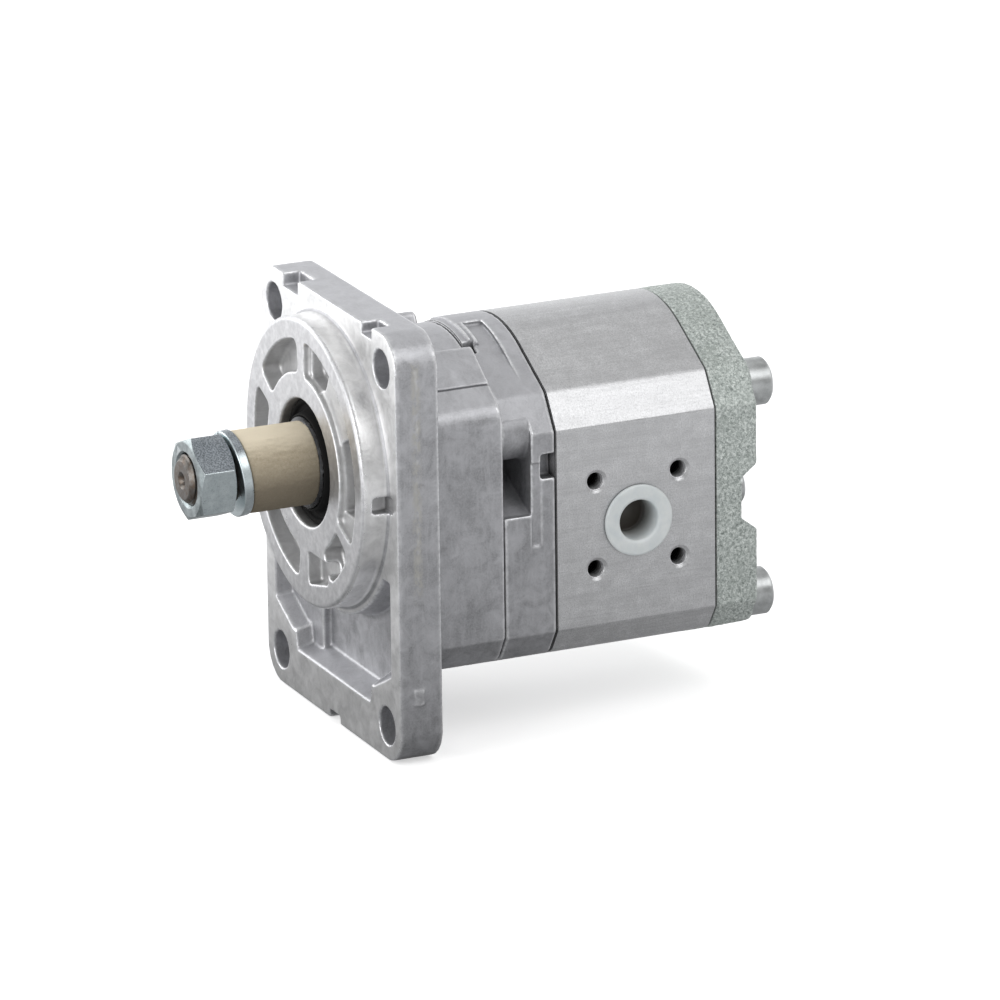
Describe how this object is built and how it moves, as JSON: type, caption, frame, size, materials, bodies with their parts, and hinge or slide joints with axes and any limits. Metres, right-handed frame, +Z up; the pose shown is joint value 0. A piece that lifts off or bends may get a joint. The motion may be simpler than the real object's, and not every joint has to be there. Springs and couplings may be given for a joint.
{
  "type": "hydraulic gear pump",
  "caption": "External gear pump with a rectangular flange, round pilot, outboard-bearing tapered shaft, side ports and a rough-cast rear cover.",
  "frame": {"origin": "drive shaft axis, in the plane of the flange's mounting face", "axes": "+Y along the pump axis from the shaft end to the rear cover, +Z up (driven gear below the drive gear), +X towards the port on the right when looking from the shaft end"},
  "size_m": [0.091, 0.1609, 0.1196],
  "materials": {
    "die_cast": "satin die-cast light alloy, slightly mottled",
    "machined_body": "finely machined light alloy",
    "sand_cast": "rough sand-cast, greenish grey",
    "zinc_steel": "bright zinc plating",
    "shaft_steel": "ground steel, darker thread end",
    "screw_steel": "dark satin steel",
    "bearing_steel": "polished",
    "gear_steel": "ground, case-hardened",
    "spring_steel": "oiled spring steel",
    "cage_brass": "satin",
    "bearing_alloy": "satin bearing alloy",
    "bush_bronze": "matt sintered bronze",
    "seal_rubber": "matt black",
    "backup_plastic": "natural",
    "plug_plastic": "translucent milky white",
    "sleeve_card": "plain brown card"
  },
  "bodies": {
    "casing": {"front_housing": "die_cast", "front_cover": "die_cast", "pump_body": "machined_body", "rear_cover": "sand_cast", "outer_shaft_seal": "seal_rubber", "bearing_outer_ring": "bearing_steel", "housing_circlip": "spring_steel", "pump_shaft_seal": "seal_rubber", "front_bearing_block": "bearing_alloy", "rear_bearing_block": "bearing_alloy", "front_bushes": "bush_bronze", "rear_bushes": "bush_bronze", "front_axial_seal": "seal_rubber", "rear_axial_seal": "seal_rubber", "front_seal_backup": "backup_plastic", "rear_seal_backup": "backup_plastic", "front_body_seal": "seal_rubber", "rear_body_seal": "seal_rubber", "front_dowels": "shaft_steel", "rear_dowels": "shaft_steel", "cap_screws": "screw_steel", "cover_screws": "screw_steel"},
    "drive_line": {"drive_shaft": "shaft_steel", "shaft_key": "shaft_steel", "taper_sleeve": "sleeve_card", "lock_washer": "zinc_steel", "shaft_nut": "zinc_steel", "bearing_inner_ring": "bearing_steel", "shaft_circlip": "spring_steel", "drive_gear": "gear_steel"},
    "driven_gear_body": {"driven_gear": "gear_steel"},
    "bearing_cage_body": {"bearing_balls": "bearing_steel", "bearing_cage": "cage_brass"},
    "right_plug_body": {"right_port_plug": "plug_plastic"},
    "left_plug_body": {"left_port_plug": "plug_plastic"}
  },
  "joints": [
    {"name": "shaft_spin", "type": "hinge", "parent": "casing", "child": "drive_line", "pos_m": [0, 0, 0], "axis": [0, 1, 0], "continuous": true},
    {"name": "driven_gear_spin", "type": "hinge", "parent": "casing", "child": "driven_gear_body", "pos_m": [0, 0.0733, -0.0335], "axis": [0, 1, 0], "continuous": true},
    {"name": "bearing_cage_spin", "type": "hinge", "parent": "casing", "child": "bearing_cage_body", "pos_m": [0, 0.0133, 0], "axis": [0, 1, 0], "continuous": true},
    {"name": "right_plug_pull", "type": "slide", "parent": "casing", "child": "right_plug_body", "axis": [1, 0, 0], "range_m": [0, 0.02]},
    {"name": "left_plug_pull", "type": "slide", "parent": "casing", "child": "left_plug_body", "axis": [-1, 0, 0], "range_m": [0, 0.02]}
  ],
  "couplings": [
    {"joint": "driven_gear_spin", "follows": "shaft_spin", "ratio": -1},
    {"joint": "bearing_cage_spin", "follows": "shaft_spin", "ratio": 0.3825}
  ]
}
